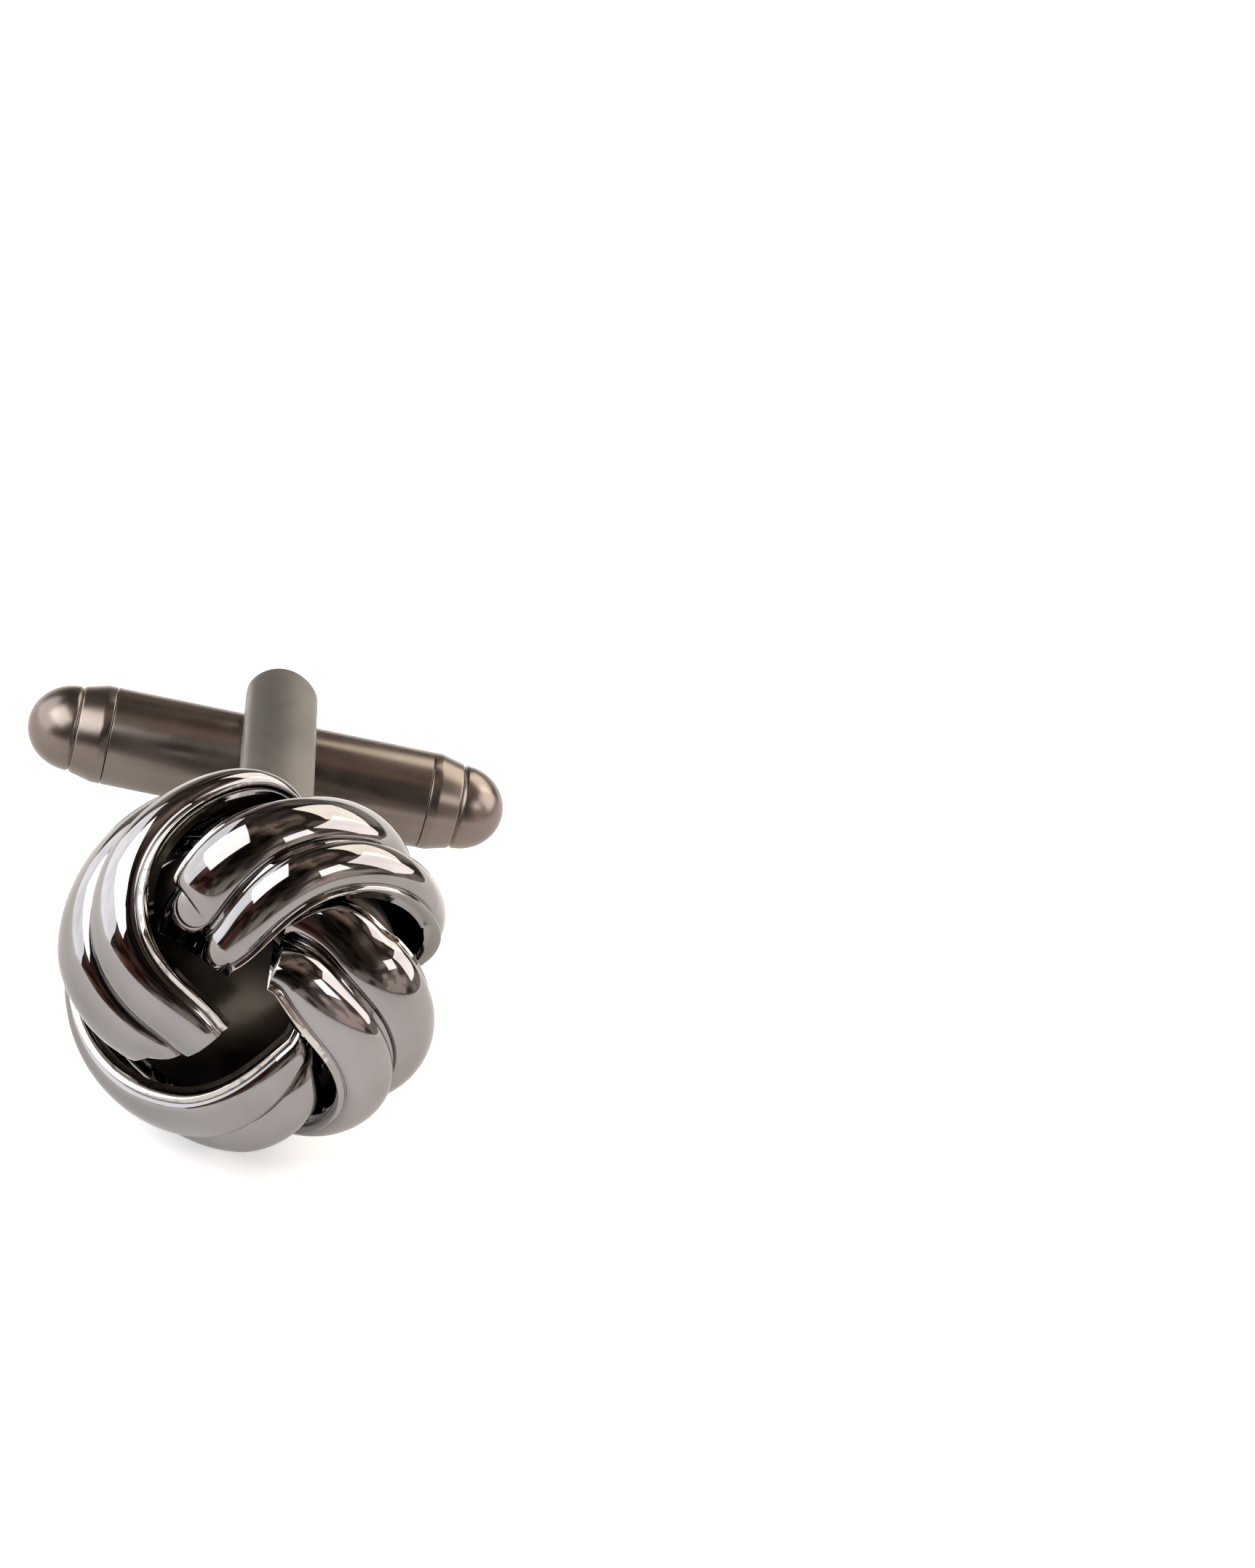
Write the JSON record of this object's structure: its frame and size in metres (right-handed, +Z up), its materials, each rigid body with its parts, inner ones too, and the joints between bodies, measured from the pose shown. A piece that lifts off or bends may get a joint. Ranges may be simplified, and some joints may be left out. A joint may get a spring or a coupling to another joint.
{
  "type": "cufflink",
  "caption": "Cufflink with a woven knot head of doubled polished strips, a forked post and a swivel bar with bullet ends.",
  "frame": {"origin": "middle of the rear face of the back plate, where the cuff bears", "axes": "+Z up, with the cufflink lying on the rim of the knot and the ends of the lower arm; +Y from the knot towards the bar, which lies along X; the face of the knot looks along -Y and a little up"},
  "size_m": [0.0202, 0.0261, 0.0148],
  "materials": {
    "knot": "polished dark rhodium plate",
    "core": "dark plate in the gaps of the knot",
    "plate": "polished dark rhodium plate",
    "bracket": "soft tumbled nickel silver",
    "pin": "tumbled steel",
    "bar": "soft polished nickel silver",
    "spring": "spring steel"
  },
  "bodies": {
    "head": {"knot_band_top": "knot", "knot_band_right": "knot", "knot_band_bottom": "knot", "knot_band_left": "knot", "knot_core": "core", "back_plate": "plate", "fork": "bracket", "fork_rivet": "pin", "pivot_pin": "pin"},
    "toggle": {"toggle_barrel": "bar", "end_cap_left": "bar", "end_cap_right": "bar", "leaf_front": "spring", "leaf_back": "spring"}
  },
  "joints": [
    {"name": "toggle_swivel", "type": "hinge", "parent": "head", "child": "toggle", "pos_m": [0, 0.0115, -0.00239], "axis": [0, 0.2033, 0.9791], "range_deg": [-90, 90]}
  ]
}
